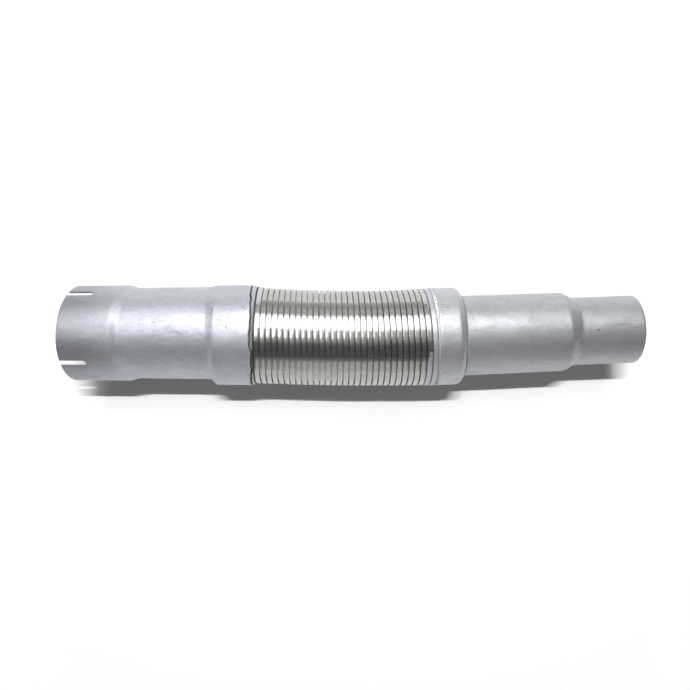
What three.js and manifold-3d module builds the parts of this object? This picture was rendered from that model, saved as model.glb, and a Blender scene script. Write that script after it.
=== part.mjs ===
// Interlocked metal flexible pipe for an exhaust line: a slotted socket tube, a strip-wound
// stainless hose of separate interlocking turns, and a collar with a reduced spigot tube.
// Millimetres, +Z up. The pipe lies along X, socket first. At rest the hose leaves the bell
// leaning to -Y and bends back towards +Y, all in one level plane.
import * as THREE from "three";
import { mergeVertices } from "three/addons/utils/BufferGeometryUtils.js";
import Module from "manifold-3d";

// ---- sides of the turned pieces: multiples of 4, so flats face up, down and sideways
const TURN_SIDES = 20;
const TUBE_SIDES = 32;

// ---- socket tube: stations along the axis from the socket rim, and outer radii, which
// grow a little along each length; the bell is formed off the neck's centre, towards -Y
const WALL = 2;
const SOCKET_RIM_R = 52.85;
const SOCKET_R = 53.3;
const SOCKET_END = 57;
const NECK_START_R = 50.6;
const NECK_START = 67;
const NECK_END_R = 51.5;
const NECK_END = 145;
const BELL_START_R = 55.55;
const BELL_START = 153.5;
const BELL_R = 56.05;
const BELL_END = 191.3;
const BELL_OFFSET = 2.3;
const RIM_CHAMFER = 0.5;

// ---- the rim, shoulder and bell aren't square: how far the top and the +Y side reach along X
const RIM_SKEW_UP = -4.7;
const RIM_SKEW_SIDE = 2.5;
const SHOULDER_SKEW_UP = -7.7;
const BELL_SKEW_UP = 5.2;

// ---- clamp slots in the socket rim
const SLOT_WIDTH = 6.5;
const SLOT_LENGTH = 24.4;
const SLOT_COUNT = 4;
const SLOT_FIRST_DEG = 38;

// ---- hose strip: pitch, outer radius, strip thickness, wall height, hook height, open gap
const PITCH = 6.18;
const TURNS = 30;
const HOSE_R = 53.3;
const STRIP = 0.5;
const HOSE_WALL = 4.5;
const HOOK = 3;
const GAP = 0.95;
const INLET_FLARE = 0.6;
const INLET_FLARE_TURNS = 5;
const OUTLET_FLARE = 0.8;
const OUTLET_FLARE_TURNS = 8;
const FIRST_GAP = 198.1;
const INLET_LEAN_DEG = 3;
const REST_BEND_DEG = 5.25;
const WINDING_SLANT_DEG = 1.5;
const WINDING_TILT_DEG = 2.3;

// ---- hidden hose ends, sleeves and welds
const HOSE_END_IN = 180;
const HOSE_END_IN_R = 52.7;
const INLET_SLEEVE = { from: 154, to: 190, inner: 46.9, outer: 48.1 };
const INLET_BEAD = { from: 191.9, to: 197.1, inner: 53.4, start: 55.7, end: 54.4 };
const HOSE_END_OUT = 411;
const HOSE_END_OUT_R = 51.8;
const OUTLET_SLEEVE = { from: 391, to: 410, inner: 45.2, outer: 49.25 };
const OUTLET_BEAD = { from: 389.5, to: 393.4, inner: 52.12, outer: 54.3 };
const SPIGOT_WELD = { from: 416.2, to: 419.5, inner: 45.1, outer: 47.4 };

// ---- spigot collar and spigot tube
const COLLAR_START = 393.7;
const COLLAR_END = 422.8;
const COLLAR_R = 54.15;
const COLLAR_LIP_R = 45.25;
const COLLAR_WALL = 2;
const COLLAR_ARC_STEPS = 5;
const SPIGOT_START = 387;
const SPIGOT_R = 44.85;
const REDUCE_START = 534.8;
const REDUCE_START_R = 43.65;
const REDUCE_END = 549;
const SPIGOT_END_R = 37.6;
const SPIGOT_END = 614.4;

// ---- lengths that follow from the ones above
const HALF_STRIP = STRIP / 2;
const REACH = PITCH - HALF_STRIP - GAP;
const FIRST_WEB = FIRST_GAP + GAP / 2 + REACH;
const LEAN = THREE.MathUtils.degToRad(INLET_LEAN_DEG);
const STEP_BEND = THREE.MathUtils.degToRad(REST_BEND_DEG / TURNS);
const SLANT = THREE.MathUtils.degToRad(WINDING_SLANT_DEG);
const TILT = THREE.MathUtils.degToRad(WINDING_TILT_DEG);

const wasm = await Module();
wasm.setup();

const paint = { color: 0xaab0b8, metalness: 0.45, roughness: 0.42 };
const steel = { color: 0xbdb8ae, metalness: 0.95, roughness: 0.22 };
const dullSteel = { color: 0x8f8c86, metalness: 0.9, roughness: 0.5 };
const weld = { color: 0xb4b8bd, metalness: 0.5, roughness: 0.65 };

// A ring turned about X from a closed profile of [x, radius]. The radii reach the flats.
function turned(profile, sides) {
  const reach = 1 / Math.cos(Math.PI / sides);
  const points = profile.map(([x, r]) => new THREE.Vector2(r * reach, x));
  points.push(points[0].clone());
  const lathe = new THREE.LatheGeometry(points, sides, Math.PI / sides);
  return lathe.rotateZ(-Math.PI / 2);
}

function named(name, geometry, look) {
  const mesh = new THREE.Mesh(geometry, new THREE.MeshStandardMaterial(look));
  mesh.name = name;
  return mesh;
}

function solidOf(geometry) {
  const bare = geometry.clone();
  bare.deleteAttribute("normal");
  bare.deleteAttribute("uv");
  const merged = mergeVertices(bare, 1e-4);
  const vertProperties = new Float32Array(merged.attributes.position.array);
  const triVerts = new Uint32Array(merged.index.array);
  return new wasm.Manifold(new wasm.Mesh({ numProp: 3, vertProperties, triVerts }));
}

function geometryOf(solid) {
  const { vertProperties, triVerts } = solid.getMesh();
  const geometry = new THREE.BufferGeometry();
  geometry.setAttribute("position", new THREE.BufferAttribute(vertProperties, 3));
  geometry.setIndex(new THREE.BufferAttribute(triVerts, 1));
  geometry.computeVertexNormals();
  return geometry;
}

// Share of a smooth change from one station to the next, flat at both ends.
function ease(x, x0, x1) {
  const t = Math.min(1, Math.max(0, (x - x0) / (x1 - x0)));
  return (1 - Math.cos(Math.PI * t)) / 2;
}

// Points of a smooth change of radius between two stations, without its first point.
function easedStep(x0, r0, x1, r1, steps = 4) {
  return Array.from({ length: steps }, (_, i) => {
    const x = x0 + ((x1 - x0) * (i + 1)) / steps;
    return [x, r0 + (r1 - r0) * ease(x, x0, x1)];
  });
}

// Moves every vertex of a geometry to where the rule sends it.
function reshaped(geometry, rule) {
  const position = geometry.getAttribute("position");
  const point = new THREE.Vector3();
  for (let i = 0; i < position.count; i++) {
    rule(point.fromBufferAttribute(position, i));
    position.setXYZ(i, point.x, point.y, point.z);
  }
  geometry.computeVertexNormals();
  return geometry;
}

// How far the winding moves a point of a ring along X: its edges slant across the hose.
function windingShift(p) {
  return p.z * Math.tan(TILT) - p.y * Math.tan(SLANT);
}

function wound(profile, sides) {
  return reshaped(turned(profile, sides), (p) => (p.x += windingShift(p)));
}

function slotCutter(angle) {
  const half = SLOT_WIDTH / 2;
  const slot = new THREE.Shape();
  slot.moveTo(-9, -half);
  slot.lineTo(SLOT_LENGTH - half, -half);
  slot.absarc(SLOT_LENGTH - half, 0, half, -Math.PI / 2, Math.PI / 2, false);
  slot.lineTo(-9, half);
  slot.closePath();
  const depth = 4 * WALL + 4;
  const options = { depth, bevelEnabled: false, curveSegments: 8 };
  const block = new THREE.ExtrudeGeometry(slot, options);
  block.translate(-RIM_SKEW_SIDE * Math.sin(angle), 0, SOCKET_R - WALL - 4);
  return block.rotateX(angle);
}

// Outer surface of the socket tube, or its inner one, pulled in by the wall.
function socketSurface(inwards) {
  return [
    [SOCKET_END, SOCKET_R - inwards],
    ...easedStep(SOCKET_END, SOCKET_R - inwards, NECK_START, NECK_START_R - inwards),
    [NECK_END, NECK_END_R - inwards],
    ...easedStep(NECK_END, NECK_END_R - inwards, BELL_START, BELL_START_R - inwards),
    [BELL_END, BELL_R - inwards],
  ];
}

// Skews the ends of the round tube and sets its bell off centre.
function settle(p) {
  const x = p.x;
  const toShoulder = (SHOULDER_SKEW_UP - RIM_SKEW_UP) * ease(x, SLOT_LENGTH, SOCKET_END);
  const toBell = (BELL_SKEW_UP - SHOULDER_SKEW_UP) * ease(x, NECK_START, NECK_END);
  const up = RIM_SKEW_UP + toShoulder + toBell;
  const side = RIM_SKEW_SIDE * (1 - ease(x, SLOT_LENGTH, NECK_START));
  p.x += (up * p.z + side * p.y) / BELL_R;
  p.y -= BELL_OFFSET * ease(x, NECK_END, BELL_START);
}

function socketTube() {
  const outer = [
    [0, SOCKET_RIM_R - RIM_CHAMFER],
    [RIM_CHAMFER, SOCKET_RIM_R],
    ...socketSurface(0),
  ];
  const inner = [[0, SOCKET_RIM_R - WALL], ...socketSurface(WALL)];
  let tube = solidOf(reshaped(turned([...outer, ...inner.reverse()], TUBE_SIDES), settle));
  for (let i = 0; i < SLOT_COUNT; i++) {
    const degrees = SLOT_FIRST_DEG + (i * 360) / SLOT_COUNT;
    tube = tube.subtract(solidOf(slotCutter(THREE.MathUtils.degToRad(degrees))));
  }
  return named("socket_tube", geometryOf(tube), paint);
}

// Hose radius at a turn: the hose opens slightly towards both ends.
function hoseRadius(turn) {
  const atInlet = Math.max(0, 1 - (turn - 1) / INLET_FLARE_TURNS);
  const atOutlet = Math.max(0, 1 - (TURNS - turn) / OUTLET_FLARE_TURNS);
  return HOSE_R + INLET_FLARE * atInlet + OUTLET_FLARE * atOutlet;
}

// S-shaped strip section about its web at x = 0: an outer band that hooks inwards on the
// inlet side, and an inner band that hooks outwards into the next turn.
function turnProfile(radius) {
  const inside = radius - HOSE_WALL;
  return [
    [-REACH, radius],
    [HALF_STRIP, radius],
    [HALF_STRIP, inside + STRIP],
    [REACH - STRIP, inside + STRIP],
    [REACH - STRIP, inside + HOOK],
    [REACH, inside + HOOK],
    [REACH, inside],
    [-HALF_STRIP, inside],
    [-HALF_STRIP, radius - STRIP],
    [STRIP - REACH, radius - STRIP],
    [STRIP - REACH, radius - HOOK],
    [-REACH, radius - HOOK],
  ];
}

function hoseTurn(turn) {
  const name = `hose_turn_${String(turn).padStart(2, "0")}`;
  return named(name, wound(turnProfile(hoseRadius(turn)), TURN_SIDES), steel);
}

// Fused end turns inside the bell, with an inner hook that holds the first free turn.
function hoseEndInlet() {
  const inside = HOSE_R - HOSE_WALL;
  const start = HOSE_END_IN - (FIRST_WEB - PITCH);
  const profile = [
    [start, HOSE_END_IN_R],
    [HALF_STRIP, HOSE_END_IN_R],
    [HALF_STRIP, inside + STRIP],
    [REACH - STRIP, inside + STRIP],
    [REACH - STRIP, inside + HOOK],
    [REACH, inside + HOOK],
    [REACH, inside],
    [start, inside],
  ];
  return named("hose_end_inlet", wound(profile, TUBE_SIDES), dullSteel);
}

// Last turn of the hose: its outer band shows, and its fused end runs inside the collar.
function hoseEndOutlet() {
  const radius = hoseRadius(TURNS);
  const end = HOSE_END_OUT - (FIRST_WEB + TURNS * PITCH);
  const profile = [
    [-REACH, radius],
    [HALF_STRIP, radius],
    [HALF_STRIP, HOSE_END_OUT_R],
    [end, HOSE_END_OUT_R],
    [end, radius - HOSE_WALL],
    [-HALF_STRIP, radius - HOSE_WALL],
    [-HALF_STRIP, radius - STRIP],
    [STRIP - REACH, radius - STRIP],
    [STRIP - REACH, radius - HOOK],
    [-REACH, radius - HOOK],
  ];
  return named("hose_end_outlet", wound(profile, TUBE_SIDES), steel);
}

function plainRing(name, { from, to, inner, outer }, look) {
  const profile = [
    [from, outer],
    [to, outer],
    [to, inner],
    [from, inner],
  ];
  return named(name, turned(profile, TUBE_SIDES), look);
}

// Weld between the bell edge and the hose: high at the bell, low and rounded at the hose.
// It follows the bell's edge on one side and the first turn's slant on the other.
function inletWeldBead() {
  const { from, to, inner, start, end } = INLET_BEAD;
  const profile = [
    [from, start],
    [from + 1.6, start],
    [to - 0.8, end],
    [to, end - 0.5],
    [to, inner],
    [from, inner],
  ];
  const fitted = reshaped(turned(profile, TUBE_SIDES), (p) => {
    const share = (p.x - from) / (to - from);
    const atBell = (BELL_SKEW_UP * p.z) / BELL_R;
    const atHose = windingShift(p) + p.y * Math.tan(LEAN);
    p.x += atBell + (atHose - atBell) * share;
  });
  return named("inlet_weld_bead", fitted, weld);
}

// Weld between the last turn and the collar: slanted at the turn, square at the collar.
function outletWeldBead() {
  const { from, to, inner, outer } = OUTLET_BEAD;
  const profile = [
    [from, outer - 0.4],
    [(from + to) / 2, outer],
    [to, outer - 0.4],
    [to, inner],
    [from, inner],
  ];
  const fitted = reshaped(turned(profile, TUBE_SIDES), (p) => {
    p.x += ((to - p.x) / (to - from)) * windingShift(p);
  });
  return named("outlet_weld_bead", fitted, weld);
}

// Pressed cap over the hose end, turned in to a lip around the spigot tube.
function spigotCollar() {
  const radius = COLLAR_R - COLLAR_LIP_R;
  const centre = COLLAR_END - radius;
  const arc = (r, i) => {
    const angle = (i / COLLAR_ARC_STEPS) * (Math.PI / 2);
    return [centre + r * Math.sin(angle), COLLAR_LIP_R + r * Math.cos(angle)];
  };
  const steps = [...Array(COLLAR_ARC_STEPS + 1).keys()];
  const profile = [
    [COLLAR_START, COLLAR_R],
    ...steps.map((i) => arc(radius, i)),
    ...steps.map((i) => arc(radius - COLLAR_WALL, i)).reverse(),
    [COLLAR_START, COLLAR_R - COLLAR_WALL],
  ];
  return named("spigot_collar", turned(profile, TUBE_SIDES), paint);
}

function spigotTube() {
  const outer = [
    [SPIGOT_START, SPIGOT_R],
    [REDUCE_START, REDUCE_START_R],
    ...easedStep(REDUCE_START, REDUCE_START_R, REDUCE_END, SPIGOT_END_R),
    [SPIGOT_END - RIM_CHAMFER, SPIGOT_END_R],
    [SPIGOT_END, SPIGOT_END_R - RIM_CHAMFER],
  ];
  const inner = [
    [SPIGOT_START, SPIGOT_R - WALL],
    [REDUCE_START, REDUCE_START_R - WALL],
    ...easedStep(REDUCE_START, REDUCE_START_R - WALL, REDUCE_END, SPIGOT_END_R - WALL),
    [SPIGOT_END, SPIGOT_END_R - WALL],
  ];
  return named("spigot_tube", turned([...outer, ...inner.reverse()], TUBE_SIDES), paint);
}

// Where the web of each turn stands, and its heading in the level plane.
const stations = [];
const bellMouth = new THREE.Vector3(BELL_END, -BELL_OFFSET, 0);
const walker = bellMouth.clone();
const walk = (distance, heading) => {
  walker.x += distance * Math.cos(heading);
  walker.y += distance * Math.sin(heading);
};
walk(FIRST_WEB - BELL_END, -LEAN);
for (let turn = 1; turn <= TURNS + 1; turn++) {
  const heading = (turn - 1) * STEP_BEND - LEAN;
  stations.push({ at: walker.clone(), heading });
  walk(PITCH / 2, heading);
  walk(PITCH / 2, heading + STEP_BEND);
}

// A group whose x = 0 is the web of a turn.
function stationGroup(turn) {
  const { at, heading } = stations[turn - 1];
  const group = new THREE.Group();
  group.position.copy(at);
  group.rotation.z = heading;
  return group;
}

function inletEnd() {
  const group = new THREE.Group();
  const inBell = new THREE.Group();
  inBell.position.y = -BELL_OFFSET;
  inBell.add(inletWeldBead(), plainRing("inlet_inner_sleeve", INLET_SLEEVE, dullSteel));
  const leaning = stationGroup(1);
  const hoseEnd = hoseEndInlet();
  hoseEnd.position.x = -PITCH;
  leaning.add(hoseEnd);
  group.add(socketTube(), inBell, leaning);
  return group;
}

function outletEnd() {
  const group = stationGroup(TURNS + 1);
  const pieces = new THREE.Group();
  pieces.position.x = -(FIRST_WEB + TURNS * PITCH);
  pieces.add(spigotCollar(), spigotTube(), outletWeldBead());
  pieces.add(plainRing("outlet_inner_sleeve", OUTLET_SLEEVE, dullSteel));
  pieces.add(plainRing("spigot_weld_bead", SPIGOT_WELD, weld));
  group.add(hoseEndOutlet(), pieces);
  return group;
}

const pipe = new THREE.Group();
pipe.add(inletEnd());
for (let turn = 1; turn <= TURNS; turn++) {
  const group = stationGroup(turn);
  group.add(hoseTurn(turn));
  pipe.add(group);
}
pipe.add(outletEnd());

// Origin at the middle of the bounding box's bottom.
const box = new THREE.Box3().setFromObject(pipe, true);
const middle = box.getCenter(new THREE.Vector3());
pipe.position.set(-middle.x, -middle.y, -box.min.z);

const root = new THREE.Group();
root.add(pipe);
export default root;
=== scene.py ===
"""A truck exhaust's flexible pipe on a white floor, seen from straight above.

Every CAD node is stood for by a finer turned piece that rides the same body. The pieces are
built in millimetres about their own axis (local X) and placed from the CAD boxes. Stations run
along the axis from the socket rim, and angles round a piece run from the top towards +Y.
"""

import math
import random

import bpy
import numpy as np
from mathutils import Matrix, Vector


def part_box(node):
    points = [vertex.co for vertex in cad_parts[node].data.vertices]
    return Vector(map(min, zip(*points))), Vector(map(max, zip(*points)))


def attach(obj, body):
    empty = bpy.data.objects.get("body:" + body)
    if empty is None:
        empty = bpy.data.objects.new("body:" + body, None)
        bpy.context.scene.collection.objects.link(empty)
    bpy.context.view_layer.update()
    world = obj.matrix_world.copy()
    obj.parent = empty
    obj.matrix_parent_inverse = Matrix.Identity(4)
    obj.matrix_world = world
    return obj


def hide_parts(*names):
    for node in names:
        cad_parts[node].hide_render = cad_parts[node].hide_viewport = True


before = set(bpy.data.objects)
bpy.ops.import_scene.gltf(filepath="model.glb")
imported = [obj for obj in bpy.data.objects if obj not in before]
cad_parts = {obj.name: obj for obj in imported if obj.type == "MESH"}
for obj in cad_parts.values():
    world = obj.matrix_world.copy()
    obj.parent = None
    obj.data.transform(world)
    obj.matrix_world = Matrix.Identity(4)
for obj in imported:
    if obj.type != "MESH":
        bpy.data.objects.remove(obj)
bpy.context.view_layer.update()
MM = 0.001
RING_SIDES = 128
TUBE_SIDES = 160
STEP_SPACING = 0.6
STRAIGHT_SPACING = 3.0

# ---- stations, lengths and radii, in millimetres
WALL = 2.0

# Socket tube: the socket narrows at the shoulder, and the neck widens at the flare to the
# bell, whose axis lies on the -Y side of the neck's. A skew says how far an edge or a step
# leans along the axis at the bell's radius, at the top (up) and at the +Y side (side).
SHOULDER = (57, 67)
FLARE = (144, 154.5)
BELL_SHIFT = (145, 153.5)
BELL_OFFSET = 2.3
BELL_R = 56.05
BELL_END = 191.3
RAGGED_FROM = 184
SOCKET_SURFACE = [
    (0, 52.85),
    (SHOULDER[0], 53.3),
    (SHOULDER[1], 50.6),
    (FLARE[0], 51.5),
    (FLARE[1], 55.55),
    (BELL_END, BELL_R),
]
RIM_SKEW_UP = -4.7
RIM_SKEW_SIDE = 2.5
SHOULDER_SKEW_UP = -7.7
BELL_SKEW_UP = 5.2
SLOTS = 4
SLOT_WIDTH = 6.5
SLOT_LENGTH = 24.4
SLOT_FIRST_DEG = 38.0

# Hose: each turn has a web, an outer band that runs back from it and an inner band that
# runs ahead of it, each ending in a hook. GAP is what shows between two outer bands.
TURNS = 30
FIRST_GAP = 198.1
GAP = 0.95
STRIP = 0.5
HALF_STRIP = STRIP / 2
HOSE_WALL = 4.5
HOOK = 3.0
SLANT = math.radians(1.5)
TILT = math.radians(2.3)
FUSED_START = 180
FUSED_END = 411

# Rings and welds at the ends of the hose. The outlet bead has a ridge round RIDGE_DEG, whose lumps
# carry a painted highlight.
BELL_SLEEVE = (154, 190)
INLET_BEAD = (192.2, 197.05)
OUTLET_BEAD = (389.6, 393.6)
RIDGE_DEG = 27
RIDGE_SPREAD = 24
COLLAR_SLEEVE = (391, 410)
COLLAR_WELD = (416.2, 419.5)

# Collar and spigot tube, with a seam weld along the tube's end
COLLAR_START = 393.7
COLLAR_END = 422.8
COLLAR_R = 54.15
LIP_R = 45.25
REDUCTION = (534.8, 549)
SPIGOT_END_R = 37.6
SPIGOT_SURFACE = [
    (387, 44.85),
    (REDUCTION[0], 43.65),
    (REDUCTION[1], SPIGOT_END_R),
    (614.1, SPIGOT_END_R),
]
SEAM_DEG = 8.6
SEAM_STARTS = (560, 585)
SEAM_HEIGHT = 0.13
SEAM_WIDTH = 0.7

# ---- where things stand, from the CAD


def centre_of(node):
    low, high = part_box(node)
    return (low + high) / 2


def radius_of(node):
    """Outer radius, from the height of the CAD ring's box."""
    low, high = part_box(node)
    return (high.z - low.z) / 2 / MM


def turn_name(turn):
    return f"hose_turn_{turn:02d}"


AXIS_Z = centre_of("socket_tube").z
SOCKET_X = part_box("inlet_inner_sleeve")[0].x - BELL_SLEEVE[0] * MM
BELL_Y = centre_of("inlet_inner_sleeve").y
NECK_Y = BELL_Y + BELL_OFFSET * MM
WEBS = [centre_of(turn_name(k)).xy for k in range(1, TURNS + 1)]
steps = [b - a for a, b in zip(WEBS, WEBS[1:])]
PITCH = sum(step.length for step in steps) / len(steps) / MM
slopes = np.array([math.atan2(step.y, step.x) for step in steps])
STEP_BEND, FIRST_SLOPE = np.polyfit(np.arange(len(slopes)), slopes, 1)
# How far a band reaches from the middle of its web, and the station of the fused end's web
REACH = PITCH - HALF_STRIP - GAP
LAST_WEB = FIRST_GAP + GAP / 2 + REACH + TURNS * PITCH


def heading(turn):
    """Heading of a turn in the level plane, with turns counted from 1."""
    return FIRST_SLOPE + STEP_BEND * (turn - 1.5)


def web_of(turn):
    """Where a turn's web stands. The fused ends count as the turns before and after."""
    if 1 <= turn <= TURNS:
        return WEBS[turn - 1]
    near = min(max(turn, 1), TURNS)
    mean = (heading(near) + heading(turn)) / 2
    way = Vector((math.cos(mean), math.sin(mean)))
    return WEBS[near - 1] + way * (turn - near) * PITCH * MM


def place(xy, angle=0.0):
    """A piece's own frame at the axis height, with its X turned by the angle."""
    spot = Matrix.Translation((xy[0], xy[1], AXIS_Z))
    return spot @ Matrix.Rotation(angle, 4, "Z")


SOCKET_PLACE = place((SOCKET_X, NECK_Y))
BELL_PLACE = place((SOCKET_X, BELL_Y))
OUTLET_PLACE = place(web_of(TURNS + 1), heading(TURNS + 1))


def from_last_web(points):
    """Points or marks with their stations counted from the last web, where the outlet's
    pieces have their origin."""
    return [(point[0] - LAST_WEB, *point[1:]) for point in points]


# ---- turned pieces


def added(name, data):
    """A new object, linked into the scene."""
    obj = bpy.data.objects.new(name, data)
    bpy.context.scene.collection.objects.link(obj)
    return obj


def new_mesh(name, points, faces):
    mesh = bpy.data.meshes.new(name)
    mesh.from_pydata(points, [], faces)
    return mesh


def ease(x, x0, x1):
    """0 before x0 and 1 after x1, with a soft rise between."""
    t = np.clip((x - x0) / (x1 - x0), 0, 1)
    return (1 - np.cos(np.pi * t)) / 2


def step_share(x, x0, x1, falling):
    """Share of a smooth step made at x. A falling step makes more of it early."""
    if falling:
        return 0.5 * ease(x, x0, x1) + 0.5 * math.sin((x - x0) / (x1 - x0) * math.pi / 2)
    return ease(x, x0, x1)


def surface(points, smooth):
    """Points along an outer surface, straight except for the smooth steps."""
    out = []
    for (x0, r0), (x1, r1) in zip(points, points[1:]):
        soft = (x0, x1) in smooth
        spacing = STEP_SPACING if soft else STRAIGHT_SPACING
        count = max(2, math.ceil((x1 - x0) / spacing))
        for x in np.linspace(x0, x1, count, endpoint=False):
            share = step_share(x, x0, x1, r1 < r0) if soft else (x - x0) / (x1 - x0)
            out.append((x, r0 + (r1 - r0) * share))
    return out + [points[-1]]


def rounded(corners, segments=4):
    """A closed outline of (x, r, fillet) corners as points, with the corners rounded."""
    out = []
    for i, (x, r, fillet) in enumerate(corners):
        if fillet <= 0:
            out.append((x, r))
            continue
        here = np.array((x, r), float)
        before = np.array(corners[i - 1][:2], float)
        after = np.array(corners[(i + 1) % len(corners)][:2], float)
        a = (before - here) / np.linalg.norm(before - here)
        b = (after - here) / np.linalg.norm(after - here)
        half = math.acos(np.clip(a @ b, -1, 1)) / 2
        start, end = here + a * fillet, here + b * fillet
        middle = here + (a + b) / np.linalg.norm(a + b) * fillet / math.cos(half)
        p, q = start - middle, end - middle
        sweep = math.atan2(p[0] * q[1] - p[1] * q[0], p @ q)
        for k in range(segments + 1):
            c, s = math.cos(sweep * k / segments), math.sin(sweep * k / segments)
            out.append(tuple(middle + np.array((p[0] * c - p[1] * s, p[0] * s + p[1] * c))))
    return out


def ripple(theta, seed, orders, size):
    """A smooth seeded wave around the ring."""
    rng = random.Random(seed)
    total = np.zeros_like(theta)
    for order in orders:
        total += rng.uniform(0.4, 1) * np.sin(order * theta + rng.uniform(0, 2 * math.pi))
    return total * size / len(orders)


def bump_at(th, degrees, width):
    """A soft bump of height 1 round the ring at an angle from the top, both in degrees."""
    away = (th - math.radians(degrees) + math.pi) % (2 * math.pi) - math.pi
    return np.exp(-((away / math.radians(width)) ** 2))


def swollen(y, z, by, radius):
    """y and z moved outward by a distance, as measured at the given radius."""
    return y * (1 + by / radius), z * (1 + by / radius)


def revolve(name, outline, sides, warp=None, attributes=None):
    """A closed (x, r) outline, outer surface first and going along +X, turned about X.
    warp and the attributes' rules get every point's x, y, z, radius and angle, and warp
    gives back x, y, z."""
    outline = np.array(outline, float)
    theta = np.arange(sides) * 2 * np.pi / sides
    x = np.repeat(outline[:, :1], sides, 1)
    r = np.repeat(outline[:, 1:], sides, 1)
    th = np.repeat(theta[None, :], len(outline), 0)
    y, z = r * np.sin(th), r * np.cos(th)
    if warp:
        x, y, z = warp(x, y, z, r, th)
    co = np.stack([x, y, z], -1).reshape(-1, 3) * MM
    rows = np.arange(len(outline))[:, None]
    cols = np.arange(sides)[None, :]
    after, beside = (rows + 1) % len(outline), (cols + 1) % sides
    a, b = rows * sides + cols, after * sides + cols
    c, d = after * sides + beside, rows * sides + beside
    faces = np.stack([a, b, c, d], -1).reshape(-1, 4)
    mesh = new_mesh(name, co.tolist(), faces.tolist())
    for key, rule in (attributes or {}).items():
        values = rule(x, y, z, r, th).astype(np.float32).ravel()
        mesh.attributes.new(key, "FLOAT", "POINT").data.foreach_set("value", values)
    mesh.validate()
    return smoothed(mesh)


def smoothed(mesh, degrees=42):
    mesh.shade_smooth()
    mesh.set_sharp_from_angle(angle=math.radians(degrees))
    return mesh


def piece(name, mesh, matrix, body, slot, material, *nodes):
    """A visible piece that rides a body and stands for CAD nodes."""
    obj = added(name, mesh)
    obj.matrix_world = matrix
    mesh.materials.append(material)
    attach(obj, body)
    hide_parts(*nodes)
    return obj


# ---- materials


class Nodes:
    """Adds nodes to a material. Inputs are found by name or number, and each is linked if
    its value is another node's output, and set if it isn't."""

    def __init__(self, material):
        self.tree = material.node_tree
        self.shader = self.tree.nodes["Principled BSDF"]
        self.coord = self.add("TexCoord").outputs["Object"]

    def put(self, node, key, value):
        socket = node.inputs[key]
        if isinstance(value, bpy.types.NodeSocket):
            self.tree.links.new(value, socket)
        else:
            socket.default_value = value

    def add(self, kind, settings=None, inputs=None):
        node = self.tree.nodes.new("ShaderNode" + kind)
        for key, value in (settings or {}).items():
            setattr(node, key, value)
        for key, value in (inputs or {}).items():
            self.put(node, key, value)
        return node

    def noise(self, scale, detail, rough, distortion=0.0, turn=0.0, offset=(0, 0, 0), own=None):
        """Noise in the piece's own coordinates, with one scale per metre or one for each
        axis, turned about Z. own is a fourth coordinate, which sets like pieces apart."""
        if isinstance(scale, int):
            scale = (scale, scale, scale)
        where = {"Vector": self.coord, "Scale": scale, "Rotation": (0, 0, turn), "Location": offset}
        mapped = self.add("Mapping", inputs=where).outputs[0]
        inputs = {"Vector": mapped, "Scale": 1, "Detail": detail, "Roughness": rough}
        inputs["Distortion"] = distortion
        if own is None:
            return self.add("TexNoise", inputs=inputs).outputs[0]
        inputs["W"] = own
        return self.add("TexNoise", {"noise_dimensions": "4D"}, inputs).outputs[0]

    def ramp(self, value, low, high, to_low=0.0, to_high=1.0):
        """Takes low to to_low and high to to_high, and holds those outside the range."""
        inputs = {"Value": value, "From Min": low, "From Max": high}
        inputs |= {"To Min": to_low, "To Max": to_high}
        return self.add("MapRange", {"clamp": True}, inputs).outputs[0]

    def maths(self, operation, a, b):
        return self.add("Math", {"operation": operation}, {0: a, 1: b}).outputs[0]

    def mix(self, share, a, b):
        """Colour a where share is 0, and colour b where it is 1."""
        return self.add("Mix", {"data_type": "RGBA"}, {0: share, 6: a, 7: b}).outputs[2]

    def blend(self, share, a, b):
        """Number a where share is 0, and number b where it is 1."""
        return self.add("Mix", {"data_type": "FLOAT"}, {0: share, 2: a, 3: b}).outputs[0]

    def vector(self, operation, a, b):
        return self.add("VectorMath", {"operation": operation}, {0: a, 1: b}).outputs[0]

    def length(self, vector):
        return self.add("VectorMath", {"operation": "LENGTH"}, {0: vector}).outputs["Value"]

    def attribute(self, name):
        return self.add("Attribute", {"attribute_name": name}).outputs["Fac"]

    def mark(self, where, sizes, turn):
        """1 inside a small ellipsoid about a local point, 0 outside, in millimetres."""
        away = self.vector("SUBTRACT", self.coord, [v * MM for v in where])
        if turn:
            inputs = {"Vector": away, "Angle": turn}
            away = self.add("VectorRotate", {"rotation_type": "Z_AXIS"}, inputs).outputs[0]
        scaled = self.vector("MULTIPLY", away, [1 / (size * MM) for size in sizes])
        return self.ramp(self.length(scaled), 0.6, 1.4, 1, 0)

    def bump(self, height, distance, strength, under=None):
        """The normal of a bumpy surface, on top of the normal under it."""
        inputs = {"Height": height, "Distance": distance, "Strength": strength}
        if under is not None:
            inputs["Normal"] = under
        return self.add("Bump", inputs=inputs).outputs[0]

    def shade(self, parts, shader=None):
        """Puts colour, roughness, metal share and normal on a shader."""
        for key, value in zip(("Base Color", "Roughness", "Metallic", "Normal"), parts):
            self.put(shader or self.shader, key, value)


def new_material(name):
    material = bpy.data.materials.new(name)
    material.use_nodes = True
    return material, Nodes(material)


def grey(value, tint=(1, 1, 1)):
    return (value * tint[0], value * tint[1], value * tint[2], 1)


COOL = (0.97, 0.995, 1.045)
LAVENDER = (0.965, 0.99, 1.1)
WARM = (1.015, 1.0, 0.97)
STEEL_TONE = 0.41
STEEL_METAL = 0.98
PAINT_METAL = 0.82
SOCKET_TONE = COLLAR_TONE = WELD_TONE = 0.43
SPIGOT_TONE = 0.4
BEAD_TONE = 0.44
SPRAY_TONE = 0.46
# Painted shade on the socket: how much darker it gets towards the rim, and the station where that
# has faded out.
RIM_SHADE = 0.54
RIM_SHADE_TO = 62


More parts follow.
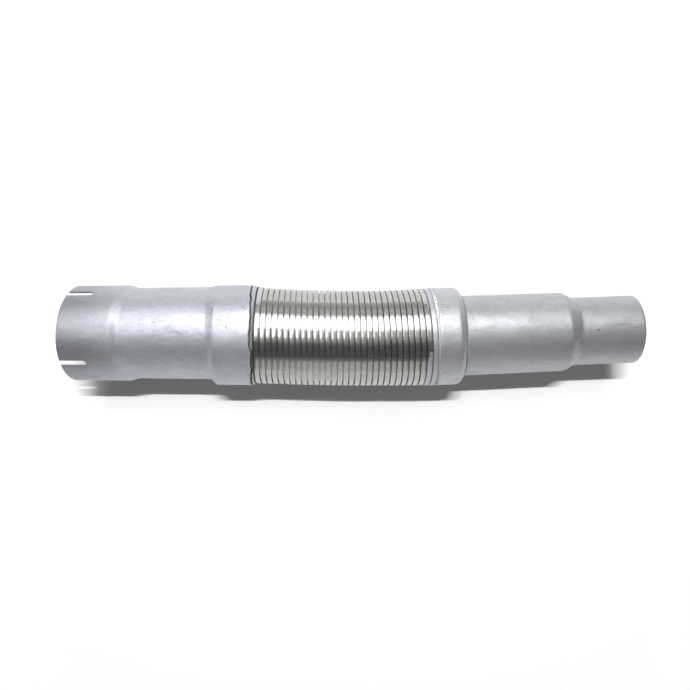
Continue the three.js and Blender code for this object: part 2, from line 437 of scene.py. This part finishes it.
def paint_parts(n, tone, tint=COOL):
    """Colour, roughness, metal share and normal of the silver paint."""
    broad = n.noise(26, 5, 0.65)
    blotch = n.noise((100, 130, 130), 5, 0.75, 0.3, offset=(4, 4, 4))
    streak = n.noise((14, 55, 55), 3, 0.6, 0.4, offset=(3, 1, 7))
    grain = n.noise(560, 3, 0.7)
    dent = n.noise((42, 60, 60), 2, 0.5, offset=(1, 6, 2))
    dust = n.ramp(n.noise(95, 5, 0.7, offset=(5, 2, 1)), 0.56, 0.72)
    base = n.mix(n.ramp(broad, 0.35, 0.68), grey(tone * 0.92, tint), grey(tone * 1.05, tint))
    base = n.mix(n.ramp(blotch, 0.45, 0.7, 0, 0.5), base, grey(tone * 0.78, LAVENDER))
    base = n.mix(n.ramp(grain, 0.4, 0.7, 0, 0.55), base, grey(tone * 1.3, tint))
    base = n.mix(n.maths("MULTIPLY", dust, 0.22), base, grey(tone * 0.72))
    rough = n.ramp(streak, 0.3, 0.7, 0.42, 0.49)
    rough = n.maths("ADD", rough, n.ramp(blotch, 0.35, 0.7, -0.03, 0.08))
    rough = n.maths("ADD", rough, n.maths("MULTIPLY", dust, 0.1))
    normal = n.bump(blotch, 0.0005, 0.15, n.bump(dent, 0.002, 0.35))
    return base, rough, PAINT_METAL, n.bump(grain, 0.00015, 0.4, normal)


def steel_parts(n):
    """Colour, roughness, metal share and normal of the rolled strip. Rolling lines run
    round the hose, and each turn has its own place in the noise."""
    own = n.attribute("own")
    lines = n.noise((2100, 9, 9), 3, 0.6, turn=-SLANT, own=own)
    fine = n.noise((5200, 26, 26), 2, 0.5, turn=-SLANT, own=own)
    cloud = n.noise((45, 30, 30), 3, 0.55, own=own)
    smudge = n.ramp(n.noise((160, 120, 120), 4, 0.7, 0.6, own=own), 0.55, 0.75)
    light, dark = grey(STEEL_TONE * 1.06, WARM), grey(STEEL_TONE * 0.9, WARM)
    base = n.mix(n.ramp(lines, 0.3, 0.7), dark, light)
    base = n.mix(n.maths("MULTIPLY", smudge, 0.35), base, grey(STEEL_TONE * 0.55, WARM))
    rough = n.ramp(cloud, 0.3, 0.7, 0.16, 0.23)
    rough = n.maths("ADD", rough, n.ramp(fine, 0.35, 0.7, 0, 0.06))
    rough = n.maths("ADD", rough, n.maths("MULTIPLY", smudge, 0.12))
    return base, rough, STEEL_METAL, n.bump(lines, 0.000012, 0.6, n.bump(cloud, 0.0003, 0.12))


def painted(name, tone, marks=(), tint=COOL, rim_shade_to=0):
    """Silver paint with marks on it, and painted shade in the joints: nearly black where the grime
    attribute is high. Towards the rim, up to the station rim_shade_to, it is darkened as painted
    shade where the lamps' highlight falls off."""
    material, n = new_material(name)
    base, rough, metal, normal = paint_parts(n, tone, tint)
    # Painted shade: darker towards the rim, where the lamps' highlight falls off.
    if rim_shade_to:
        along = n.add("SeparateXYZ", inputs={"Vector": n.coord}).outputs[0]
        rim_shade = n.ramp(along, 0.25 * rim_shade_to * MM, rim_shade_to * MM, RIM_SHADE, 0)
        base = n.mix(rim_shade, base, grey(tone * 0.5, LAVENDER))
    for station, degrees, radius, y_offset, sizes, turn, colour in marks:
        angle = math.radians(degrees)
        where = (station, radius * math.sin(angle) + y_offset, radius * math.cos(angle))
        mark = n.mark(where, sizes, math.radians(turn))
        base = n.mix(mark, base, colour)
        rough = n.blend(mark, rough, 0.75)
    # Painted shade: nearly black, rough and not metal where the joints lie in shade.
    joint_shade = n.attribute("joint_shade")
    base = n.mix(joint_shade, base, grey(0.025))
    rough = n.blend(joint_shade, rough, 0.8)
    n.shade((base, rough, n.blend(joint_shade, metal, 0.0), normal))
    return material


def polished(name):
    material, n = new_material(name)
    n.shade(steel_parts(n))
    return material


def sprayed(name):
    """Strip with silver paint where the spray attribute, broken up by noise, is high."""
    material, n = new_material(name)
    n.shade(steel_parts(n))
    paint = n.add("BsdfPrincipled")
    n.shade(paint_parts(n, SPRAY_TONE), paint)
    ragged = n.noise((380, 300, 300), 5, 0.75, 0.5)
    level = n.maths("ADD", n.attribute("spray"), n.ramp(ragged, 0.25, 0.75, -0.32, 0.32))
    inputs = {0: n.ramp(level, 0.44, 0.56), 1: n.shader.outputs[0], 2: paint.outputs[0]}
    both = n.add("MixShader", inputs=inputs)
    n.put(n.tree.nodes["Material Output"], "Surface", both.outputs[0])
    return material


def rough_weld(name):
    """Sealed weld under paint, near white on its lumps where the pale attribute is high, as a
    painted highlight on the ridge's lit side.
    """
    material, n = new_material(name)
    base, rough, _, normal = paint_parts(n, WELD_TONE)
    lumps = n.noise(600, 5, 0.7, 0.8)
    pits = n.ramp(n.noise(900, 3, 0.6, offset=(2, 2, 2)), 0.6, 0.7)
    base = n.mix(n.maths("MULTIPLY", pits, 0.7), base, grey(0.12))
    ridge_highlight = n.maths("MULTIPLY", n.ramp(lumps, 0.4, 0.6), n.attribute("ridge_highlight"))
    base = n.mix(ridge_highlight, base, grey(0.95))
    n.shade((base, n.maths("ADD", rough, 0.18), 0.5, n.bump(lumps, 0.0009, 0.9, normal)))
    return material


def dull_steel(name):
    material, n = new_material(name)
    soot = n.noise(60, 5, 0.65)
    lines = n.noise((1500, 12, 12), 2, 0.5)
    base = n.mix(n.ramp(soot, 0.35, 0.65), grey(0.1, WARM), grey(0.3, WARM))
    rough = n.ramp(lines, 0.3, 0.7, 0.42, 0.6)
    n.shade((base, rough, 0.85, n.bump(lines, 0.00003, 0.4)))
    return material


STEEL = polished("polished_strip")
SPRAYED = sprayed("sprayed_strip")
DULL = dull_steel("dull_steel")
WELD = rough_weld("sealed_weld")

# Marks: station, degrees from the top, radius, offset in y, half sizes, turn in degrees, colour
DARK_SPECK, GREY_SPECK = grey(0.03), grey(0.12)
RED_SPECK, SEAM_LINE = (0.09, 0.012, 0.03, 1), (0.3, 0.27, 0.34, 1)
SOCKET_MARKS = [
    (155.8, 28.3, 55.5, -BELL_OFFSET, (0.95, 0.9, 1.2), 0, GREY_SPECK),
    (155.8, 23.6, 55.5, -BELL_OFFSET, (0.85, 0.75, 1.2), 0, GREY_SPECK),
    (153.4, 25.9, 55.2, -BELL_OFFSET, (0.5, 0.5, 0.9), 0, GREY_SPECK),
    (187.8, 31.5, 56.0, -BELL_OFFSET, (0.8, 0.6, 1.0), 0, GREY_SPECK),
    (190.0, 29.2, 56.0, -BELL_OFFSET, (0.5, 0.6, 1.0), 0, DARK_SPECK),
    (180.4, 36.0, 56.0, -BELL_OFFSET, (0.5, 0.5, 1.0), 0, GREY_SPECK),
    (172.2, 8.0, 55.9, -BELL_OFFSET, (0.32, 2.2, 1.0), -12, GREY_SPECK),
    (120.6, -0.4, 51.3, 0, (3.4, 0.3, 1.0), 24, grey(0.24)),
    (124.5, -2.0, 51.3, 0, (1.4, 0.25, 1.0), -30, grey(0.24)),
    (96.0, 12.0, 50.9, 0, (2.2, 0.22, 1.0), 8, grey(0.26)),
    (67.5, -31.0, 50.7, 0, (0.6, 0.5, 1.0), 0, grey(0.2)),
]
SPIGOT_MARKS = [
    (563.2, 0.6, SPIGOT_END_R, 0, (0.9, 0.8, 1.2), 0, RED_SPECK),
    (586.0, SEAM_DEG, SPIGOT_END_R, 0, (11.5, 0.32, 1.0), 0, SEAM_LINE),
    (605.0, 2.4, SPIGOT_END_R, 0, (8.5, 0.35, 1.0), 0, SEAM_LINE),
    (502.0, 22.0, 44.0, 0, (1.6, 0.3, 1.0), 35, grey(0.3)),
]
COLLAR_MARKS = [
    (403.5, 33.5, 54.1, 0, (0.8, 0.5, 1.0), 0, GREY_SPECK),
    (399.0, 27.0, 54.1, 0, (0.4, 0.4, 1.0), 0, GREY_SPECK),
    (398.0, -46.0, 54.1, 0, (0.9, 0.5, 1.0), 0, GREY_SPECK),
]
SOCKET_PAINT = painted("silver_paint_socket", SOCKET_TONE, SOCKET_MARKS, LAVENDER, RIM_SHADE_TO)
COLLAR_PAINT = painted("silver_paint_collar", COLLAR_TONE, from_last_web(COLLAR_MARKS))
SPIGOT_PAINT = painted("silver_paint_spigot", SPIGOT_TONE, from_last_web(SPIGOT_MARKS))
BEAD_PAINT = painted("silver_paint_bead", BEAD_TONE)

# ---- socket tube


def slot_cutter(angle):
    """A slot with a round end, as a radial prism that starts before the rim."""
    start, inner, outer = -10, 40, 60
    half = SLOT_WIDTH / 2
    end = SLOT_LENGTH - RIM_SKEW_SIDE * math.sin(angle)
    arc = [math.radians(a) for a in range(-90, 91, 10)]
    flat = [(end - half + half * math.cos(a), half * math.sin(a)) for a in arc]
    flat = [(start, -half), *flat, (start, half)]
    turn = Matrix.Rotation(angle, 4, "X")
    co = [tuple(turn @ Vector((x, y, z)) * MM) for z in (inner, outer) for x, y in flat]
    count = len(flat)
    faces = [list(range(count))[::-1], list(range(count, 2 * count))]
    faces += [[i, (i + 1) % count, count + (i + 1) % count, count + i] for i in range(count)]
    return new_mesh("slot_cutter", co, faces)


def cut(mesh, cutters, bevel):
    """mesh minus the cutters, with its cut edges eased."""
    obj = added("work", mesh)
    tools = [added("tool", cutter) for cutter in cutters]
    for tool in tools:
        step = obj.modifiers.new("cut", "BOOLEAN")
        step.operation, step.solver, step.object = "DIFFERENCE", "EXACT", tool
    step = obj.modifiers.new("ease", "BEVEL")
    step.width, step.segments, step.limit_method = bevel * MM, 2, "ANGLE"
    step.angle_limit = math.radians(50)
    bpy.context.view_layer.update()
    evaluated = obj.evaluated_get(bpy.context.evaluated_depsgraph_get())
    done = bpy.data.meshes.new_from_object(evaluated)
    for used in [obj, *tools]:
        bpy.data.objects.remove(used)
    return smoothed(done, 35)


def tube_outline(points, smooth):
    """Outline of a tube's wall, with its outer edges eased at both ends."""
    outer = surface(points, smooth)
    inner = [(x, r - WALL) for x, r in outer][::-1]
    first, last = outer[0], outer[-1]
    edge = [(0.05, -0.35), (0.2, -0.12), (0.5, 0.0)]
    start = [(first[0] + dx, first[1] + dr) for dx, dr in edge]
    end = [(last[0] - dx, last[1] + dr) for dx, dr in edge][::-1]
    return start + outer[1:-1] + end + inner


def bell_edge(th):
    """How far the bell's ragged edge strays along the axis, most at two places near the top."""
    stray = ripple(th, 5, (3, 7, 13, 19), 0.8) + ripple(th, 6, (11, 17, 23, 29), 1.5)
    stray = stray + 1.0 * bump_at(th, 29, 7)
    return stray + 1.4 * bump_at(th, -31, 13) - 0.5


def socket_warp(x, y, z, r, th):
    """Uneven, a little under size, with the rim and steps skewed and the bell set off."""
    swell = ripple(th, 11, (2, 3, 5), 0.09) + ripple(th + x / 70, 12, (1, 2, 4), 0.07) - 0.16
    y, z = swollen(y, z, swell, 52)
    up = RIM_SKEW_UP + (SHOULDER_SKEW_UP - RIM_SKEW_UP) * ease(x, SLOT_LENGTH, SHOULDER[0])
    up = up + (BELL_SKEW_UP - SHOULDER_SKEW_UP) * ease(x, SHOULDER[1], BELL_SHIFT[0])
    side = RIM_SKEW_SIDE * (1 - ease(x, SLOT_LENGTH, SHOULDER[1]))
    along = (up * z + side * y) / BELL_R + ease(x, RAGGED_FROM, BELL_END) * bell_edge(th)
    return x + along, y - BELL_OFFSET * ease(x, *BELL_SHIFT), z


def socket_tube():
    outline = tube_outline(SOCKET_SURFACE, [SHOULDER, FLARE])
    mesh = revolve("socket_tube", outline, TUBE_SIDES, socket_warp)
    angles = [math.radians(SLOT_FIRST_DEG + 360 / SLOTS * i) for i in range(SLOTS)]
    mesh = cut(mesh, [slot_cutter(angle) for angle in angles], 0.22)
    piece("socket", mesh, SOCKET_PLACE, "inlet", "silver_paint", SOCKET_PAINT, "socket_tube")


def inlet_bead():
    """Painted weld band with an undercut along the bell edge, made dark with painted shade."""
    start, end = INLET_BEAD
    corners = [
        (start, 53.45, 0.1),
        (start, 55.45, 0.4),
        (193.5, 55.75, 0.6),
        (195.4, 54.95, 0.8),
        (end, 54.35, 0.4),
        (end, 53.45, 0.1),
    ]

    def warp(x, y, z, r, th):
        share = np.clip((x - start) / (end - start), 0, 1)
        at_bell = BELL_SKEW_UP * z / BELL_R + bell_edge(th) + ripple(th, 21, (5, 9, 14, 27), 0.6)
        at_hose = z * math.tan(TILT) + y * (math.tan(-heading(1)) - math.tan(SLANT))
        lumps = ripple(th, 22, (11, 17, 23, 31), 0.16) * np.where(r > 54.5, 1, 0)
        x = x + at_bell * (1 - share) + at_hose * share
        return x, *swollen(y, z, lumps, 54)

    # Painted shade: nearly black in the undercut along the bell edge.
    def joint_shade(x, y, z, r, th):
        along = x - BELL_SKEW_UP * z / BELL_R - bell_edge(th)
        return 1 - ease(along, start + 0.3, start + 1.7 + ripple(th, 23, (4, 9, 15), 0.7))

    mesh = revolve("inlet_bead", rounded(corners, 5), 2 * TUBE_SIDES, warp, {"joint_shade": joint_shade})
    piece("inlet_bead", mesh, BELL_PLACE, "inlet", "weld", BEAD_PAINT, "inlet_weld_bead")


def plain_ring(name, node, matrix, body, slot, span, radii):
    """A hidden ring between two stations of its own frame, with eased edges."""
    (start, end), (inner, outer) = span, radii
    corners = [(start, outer, 0.3), (end, outer, 0.3), (end, inner, 0.3), (start, inner, 0.3)]
    mesh = revolve(name, rounded(corners, 2), RING_SIDES)
    piece(name, mesh, matrix, body, slot, DULL, node)


def bell_sleeve():
    node, radii = "inlet_inner_sleeve", (46.9, 48.1)
    plain_ring("bell_sleeve", node, BELL_PLACE, "inlet", "hidden_steel", BELL_SLEEVE, radii)


# ---- hose


def wound(seed):
    """Slants a ring as the winding does, with a little unevenness of its own."""
    rng = random.Random(seed)
    slant = SLANT + math.radians(rng.uniform(-0.05, 0.05))
    along = rng.uniform(-0.04, 0.04)
    side, lift = rng.uniform(-0.06, 0.06), rng.uniform(-0.06, 0.06)

    def warp(x, y, z, r, th):
        swell = ripple(th, seed + 100, (2, 3, 4, 7), 0.1)
        x = x + z * math.tan(TILT) - y * math.tan(slant) + along
        x = x + ripple(th, seed + 200, (2, 3, 5, 8), 0.05)
        y, z = swollen(y, z, swell, 53)
        return x, y + side, z + lift

    return warp


def inner_hook(inside, fold):
    """Corners of the inner band that runs ahead of the web, up to the fold at its hook."""
    return [
        (HALF_STRIP, inside + STRIP, 0.12),
        (REACH - STRIP, inside + STRIP, 0.12),
        (REACH - STRIP, inside + HOOK, 0.2),
        (REACH, inside + HOOK, 0.2),
        (REACH, inside, fold),
    ]


def outer_hook(radius, under):
    """Corners under the outer band that runs back from the web, and of its hook."""
    return [
        (-HALF_STRIP, under, 0.12),
        (STRIP - REACH, under, 0.12),
        (STRIP - REACH, radius - HOOK, 0.2),
        (-REACH, radius - HOOK, 0.2),
    ]


def turn_outline(radius):
    """S-shaped section of one turn with rounded folds and a slightly crowned band."""
    inside = radius - HOSE_WALL
    crown = 0.06
    corners = [
        (-REACH, radius - crown, 0.42),
        (-REACH * 0.5, radius, 0),
        (HALF_STRIP - REACH * 0.42, radius, 0),
        (HALF_STRIP, radius - crown, 0.42),
        *inner_hook(inside, 0.5),
        (-HALF_STRIP, inside, 0.5),
        *outer_hook(radius, radius - STRIP - crown),
    ]
    return rounded(corners)


def first_spray(x, y, z, r, th):
    """Overspray on the first bare band: on its +Y side and towards the bell."""
    return ease(y, 20, 44) * 0.9 + ease(-x, 1.0, 5.0) * 0.25


def last_spray(x, y, z, r, th):
    """Overspray on the last bare band: on both sides and towards the collar."""
    sides = np.maximum(ease(y, 26, 44), ease(-y, 14, 34))
    return sides * 0.85 + ease(x, -1.5, 0.2) * 0.4 + 0.04


SPRAY_RULES = {1: first_spray, TURNS: last_spray}


def hose_turn(turn):
    node = turn_name(turn)
    body = "inlet" if turn == 1 else f"turn_{turn:02d}"
    attributes = {"own": lambda x, y, z, r, th: np.full_like(x, turn * 3.7)}
    if turn in SPRAY_RULES:
        attributes["spray"] = SPRAY_RULES[turn]
    outline = turn_outline(radius_of(node) - 0.1)
    mesh = revolve(node, outline, RING_SIDES, wound(turn), attributes)
    look = SPRAYED if turn in SPRAY_RULES else STEEL
    spot = place(web_of(turn), heading(turn))
    piece(f"turn_{turn:02d}_band", mesh, spot, body, "polished_strip", look, node)


def hose_end_inlet():
    """The fused end in the bell, whose last hook shows dark in the first gap."""
    outside, inside = 52.7, 53.3 - HOSE_WALL
    start = FUSED_START - (LAST_WEB - (TURNS + 1) * PITCH)
    corners = [
        (start, outside, 0.2),
        (HALF_STRIP, outside, 0.2),
        *inner_hook(inside, 0.4),
        (start, inside, 0.2),
    ]
    mesh = revolve("hose_end_inlet", rounded(corners), RING_SIDES, wound(0))
    spot = place(web_of(0), heading(1))
    piece("hose_end_in_bell", mesh, spot, "inlet", "hidden_steel", DULL, "hose_end_inlet")


def hose_end_outlet():
    """Last turn, under paint, with its fused end running inside the collar."""
    node = "hose_end_outlet"
    radius = radius_of(node)
    inside, fused_r = radius - HOSE_WALL, 51.8
    end = FUSED_END - LAST_WEB
    corners = [
        (-REACH, radius - 0.05, 0.62),
        (HALF_STRIP, radius - 0.05, 0.3),
        (HALF_STRIP, fused_r, 0.1),
        (end, fused_r, 0.3),
        (end, inside, 0.3),
        (-HALF_STRIP, inside, 0.3),
        *outer_hook(radius, radius - STRIP),
    ]
    attributes = {
        "own": lambda x, y, z, r, th: np.full_like(x, 99.0),
        "spray": lambda x, y, z, r, th: np.where(r > radius - 1.2, 1.0, 0.1),
    }
    mesh = revolve(node, rounded(corners), RING_SIDES, wound(TURNS + 1), attributes)
    piece("hose_end_at_collar", mesh, OUTLET_PLACE, "outlet", "sprayed_strip", SPRAYED, node)


# ---- spigot end, whose pieces count their stations from the last web


def outlet_bead():
    """Rough seam that fills the step between the last band and the collar."""
    start, end = (station - LAST_WEB for station in OUTLET_BEAD)
    corners = [
        (start, 52.2, 0.1),
        (start, 53.9, 0.3),
        (start + 0.9, 54.25, 0.5),
        (start + 2.8, 54.35, 0.5),
        (end, 54.05, 0.2),
        (end, 52.2, 0.1),
    ]

    def outside(r):
        return np.where(r > 53.6, 1.0, 0.0)

    def warp(x, y, z, r, th):
        share = np.clip((end - x) / (end - start), 0, 1)
        x = x + share * (z * math.tan(TILT) - y * math.tan(SLANT))
        rough = ripple(th + x / 9, 31, (19, 27, 41, 53), 0.2) + ripple(th, 32, (5, 8, 13), 0.12)
        ridge = 0.25 + ripple(th, 34, (33, 47, 61), 0.5)
        rough = rough + ridge * bump_at(th, RIDGE_DEG, RIDGE_SPREAD)
        wander = ripple(th, 33, (3, 6, 11, 23), 0.12)
        return x + wander * share, *swollen(y, z, outside(r) * rough, 54)

    # Painted highlight: near white on the ridge's lumps, on the lit side round RIDGE_DEG.
    def ridge_highlight(x, y, z, r, th):
        return bump_at(th, RIDGE_DEG, RIDGE_SPREAD) * outside(r)

    mesh = revolve("outlet_bead", rounded(corners, 5), 2 * TUBE_SIDES, warp, {"ridge_highlight": ridge_highlight})
    piece("outlet_bead", mesh, OUTLET_PLACE, "outlet", "weld", WELD, "outlet_weld_bead")


def quarter_round(centre, bend):
    """Points of the collar's shoulder about a station, from the cap down to the lip."""
    arc = [math.radians(a) for a in range(0, 91, 6)]
    return [(centre + bend * math.sin(a), LIP_R + bend * math.cos(a)) for a in arc]


def spigot_collar():
    """Pressed cap with a quarter-round shoulder and a lip that stands off the tube."""
    bend = COLLAR_R - LIP_R
    start, centre, end = COLLAR_START, COLLAR_END - bend, COLLAR_END
    outer = [(start, COLLAR_R - 0.45), (start + 0.15, COLLAR_R - 0.12), (start + 0.55, COLLAR_R)]
    outer += [(398, COLLAR_R), (405, COLLAR_R - 0.02)]
    outer += quarter_round(centre, bend)[:-1]
    outer += [(end - 0.05, LIP_R + 0.35), (end - 0.3, LIP_R + 0.08)]
    inner = quarter_round(centre, bend - WALL)[::-1]
    outline = outer + inner + [(start, COLLAR_R - WALL)]

    def warp(x, y, z, r, th):
        swell = ripple(th, 41, (2, 3, 5), 0.08)
        shift = ripple(th, 42, (2, 5), 0.12) * (x > centre - LAST_WEB)
        return x - np.abs(shift), *swollen(y, z, swell, 54)

    # Painted shade on the shoulder next to the lip, where the gap to the tube lies in shade.
    def joint_shade(x, y, z, r, th):
        return ease(-r, -(LIP_R + 3.2), -(LIP_R + 0.8)) * 0.85

    mesh = revolve("spigot_collar", from_last_web(outline), TUBE_SIDES, warp, {"joint_shade": joint_shade})
    piece("collar", mesh, OUTLET_PLACE, "outlet", "silver_paint", COLLAR_PAINT, "spigot_collar")


def spigot_tube():
    """Tube with one reducing step and a faint lengthwise seam on its end."""

    def warp(x, y, z, r, th):
        swell = ripple(th + x / 90, 51, (2, 3, 5), 0.07)
        away = (th - math.radians(SEAM_DEG)) * 38 / SEAM_WIDTH
        seam = SEAM_HEIGHT * np.exp(-(away**2)) * ease(x + LAST_WEB, *SEAM_STARTS)
        swell = swell + seam * np.where(r > 36.5, 1, 0)
        return x, *swollen(y, z, swell, 40)

    # Painted shade on the tube just past the collar's lip.
    def joint_shade(x, y, z, r, th):
        return 1 - ease(x + LAST_WEB, COLLAR_END - 0.2, COLLAR_END + 2.4)

    outline = from_last_web(tube_outline(SPIGOT_SURFACE, [REDUCTION]))
    mesh = revolve("spigot_tube", outline, 2 * TUBE_SIDES, warp, {"joint_shade": joint_shade})
    piece("spigot", mesh, OUTLET_PLACE, "outlet", "silver_paint", SPIGOT_PAINT, "spigot_tube")


def collar_ring(name, node, slot, stations, radii):
    """A hidden ring inside the collar."""
    span = [station - LAST_WEB for station in stations]
    plain_ring(name, node, OUTLET_PLACE, "outlet", slot, span, radii)


socket_tube()
inlet_bead()
bell_sleeve()
hose_end_inlet()
for number in range(1, TURNS + 1):
    hose_turn(number)
hose_end_outlet()
outlet_bead()
spigot_collar()
spigot_tube()
collar_ring("collar_sleeve", "outlet_inner_sleeve", "hidden_steel", COLLAR_SLEEVE, (45.2, 49.25))
collar_ring("spigot_weld", "spigot_weld_bead", "weld", COLLAR_WELD, (45.1, 47.4))

# ---- floor, light and camera, in metres

FLOOR_HALF = 9
FLOOR_TONE = 0.67
GLOW_FROM, GLOW_TO = 0.5, 1.9
GLOW = 0.85
SKY_ON_OBJECT = 0.1
SKY_IN_VIEW = 0.95
TARGET_Z = 0.05
LENS = 32.7
CAMERA_ALONG = 0.2949
CAMERA_SIDE = -0.0134
CAMERA_ABOVE = 0.70


def floor_white(name, tone):
    """White that glows with the distance from the object, so no dark horizon shows."""
    material, n = new_material(name)
    inputs = {
        "Base Color": n.mix(n.noise(3, 2, 0.5), grey(tone), grey(tone * 1.01)),
        "Roughness": 0.9,
        "Specular IOR Level": 0.1,
        "Emission Color": (1, 1, 1, 1),
        "Emission Strength": n.ramp(n.length(n.coord), GLOW_FROM, GLOW_TO, 0, GLOW),
    }
    for key, value in inputs.items():
        n.put(n.shader, key, value)
    return material


def floor():
    half = FLOOR_HALF
    corners = [(-half, -half, 0), (half, -half, 0), (half, half, 0), (-half, half, 0)]
    mesh = new_mesh("floor", corners, [[0, 1, 2, 3]])
    mesh.materials.append(floor_white("floor_white", FLOOR_TONE))
    added("floor", mesh)


def area(name, spot, aim, size, size_y, power, colour=(1, 1, 1)):
    """A rectangular panel light at a spot, facing the aim, which the camera doesn't see."""
    data = bpy.data.lights.new(name, "AREA")
    data.shape, data.size, data.size_y = "RECTANGLE", size, size_y
    data.energy, data.color = power, colour
    obj = added(name, data)
    obj.location = spot
    back = Vector(spot) - Vector(aim)
    obj.rotation_mode = "QUATERNION"
    obj.rotation_quaternion = back.to_track_quat("Z", "Y")
    obj.visible_camera = False
    return obj


def aimed(name, elevation, side, distance, size, size_y, power, along=0.0):
    """A panel aimed at the pipe from an elevation in degrees, on the side of +Y or -Y."""
    up = math.radians(elevation)
    spot = (along, side * distance * math.cos(up), distance * math.sin(up))
    return area(name, spot, (along, 0, TARGET_Z), size, size_y, power)


def lights():
    """The key and the fill shine on the surfaces and make the shadow, but show in no
    reflection. softbox_core does both, and the other panels show only in reflections."""
    key = aimed("key", 72.5, 1, 2.4, 0.7, 0.05, 70)
    fill = aimed("fill", 65, -1, 2.2, 2.4, 1.6, 5.5)
    key.visible_glossy = fill.visible_glossy = False
    aimed("softbox_core", 58.0, 1, 1.7, 1.36, 0.86, 20, -0.03)
    cream, cream_card = (1.0, 0.985, 0.955), (1.0, 0.985, 0.945)
    pale_blue, blue = (0.95, 0.97, 1.0), (0.8, 0.88, 1.0)
    reflectors = [
        aimed("softbox_wide", 63, 1, 2.0, 2.3, 3.3, 9.5, -0.15),
        aimed("ceiling_strip", 85, 1, 2.0, 1.8, 0.3, 0.5, -0.1),
        area("overhead_left", (-0.5, 0.22, 1.7), (-0.2, 0, TARGET_Z), 0.4, 0.5, 4),
        area("left_high", (-1.5, 0.45, 1.1), (-0.1, 0, TARGET_Z), 1.1, 1.1, 8),
        area("back_wall", (0.65, 2.6, 0.75), (0.65, 0, 0.75), 3.7, 1.5, 8, cream),
        area("front_wall", (0.0, -2.4, 0.81), (0, 0, 0.81), 5.0, 1.58, 4.2, pale_blue),
        area("front_card", (-0.01, -2.39, 0.81), (-0.01, 0, 0.81), 1.4, 1.58, 4, cream_card),
        area("left_end", (-2.4, 0.0, 1.1), (0, 0, 0.3), 3.0, 1.5, 1.5, blue),
        area("right_end", (2.5, 0.0, 1.2), (0, 0, 0.4), 2.5, 1.2, 0.4),
    ]
    for reflector in reflectors:
        reflector.visible_diffuse = False


def sky():
    """A dim sky that the camera sees as near white."""
    world = bpy.data.worlds.new("studio")
    bpy.context.scene.world = world
    world.use_nodes = True
    tree = world.node_tree
    background = tree.nodes["Background"]
    background.inputs["Color"].default_value = (0.98, 0.99, 1.0, 1)
    path = tree.nodes.new("ShaderNodeLightPath")
    level = tree.nodes.new("ShaderNodeMapRange")
    tree.links.new(path.outputs["Is Camera Ray"], level.inputs["Value"])
    level.inputs["To Min"].default_value = SKY_ON_OBJECT
    level.inputs["To Max"].default_value = SKY_IN_VIEW
    tree.links.new(level.outputs[0], background.inputs["Strength"])


def camera():
    """Looks straight down from over the middle of the hose."""
    data = bpy.data.cameras.new("camera")
    data.sensor_width = 36
    data.lens = LENS
    data.clip_start, data.clip_end = 0.05, 50
    obj = added("camera", data)
    obj.location = (SOCKET_X + CAMERA_ALONG, NECK_Y + CAMERA_SIDE, AXIS_Z + CAMERA_ABOVE)
    bpy.context.scene.camera = obj


floor()
lights()
sky()
camera()
bpy.context.scene.view_settings.view_transform = "Standard"
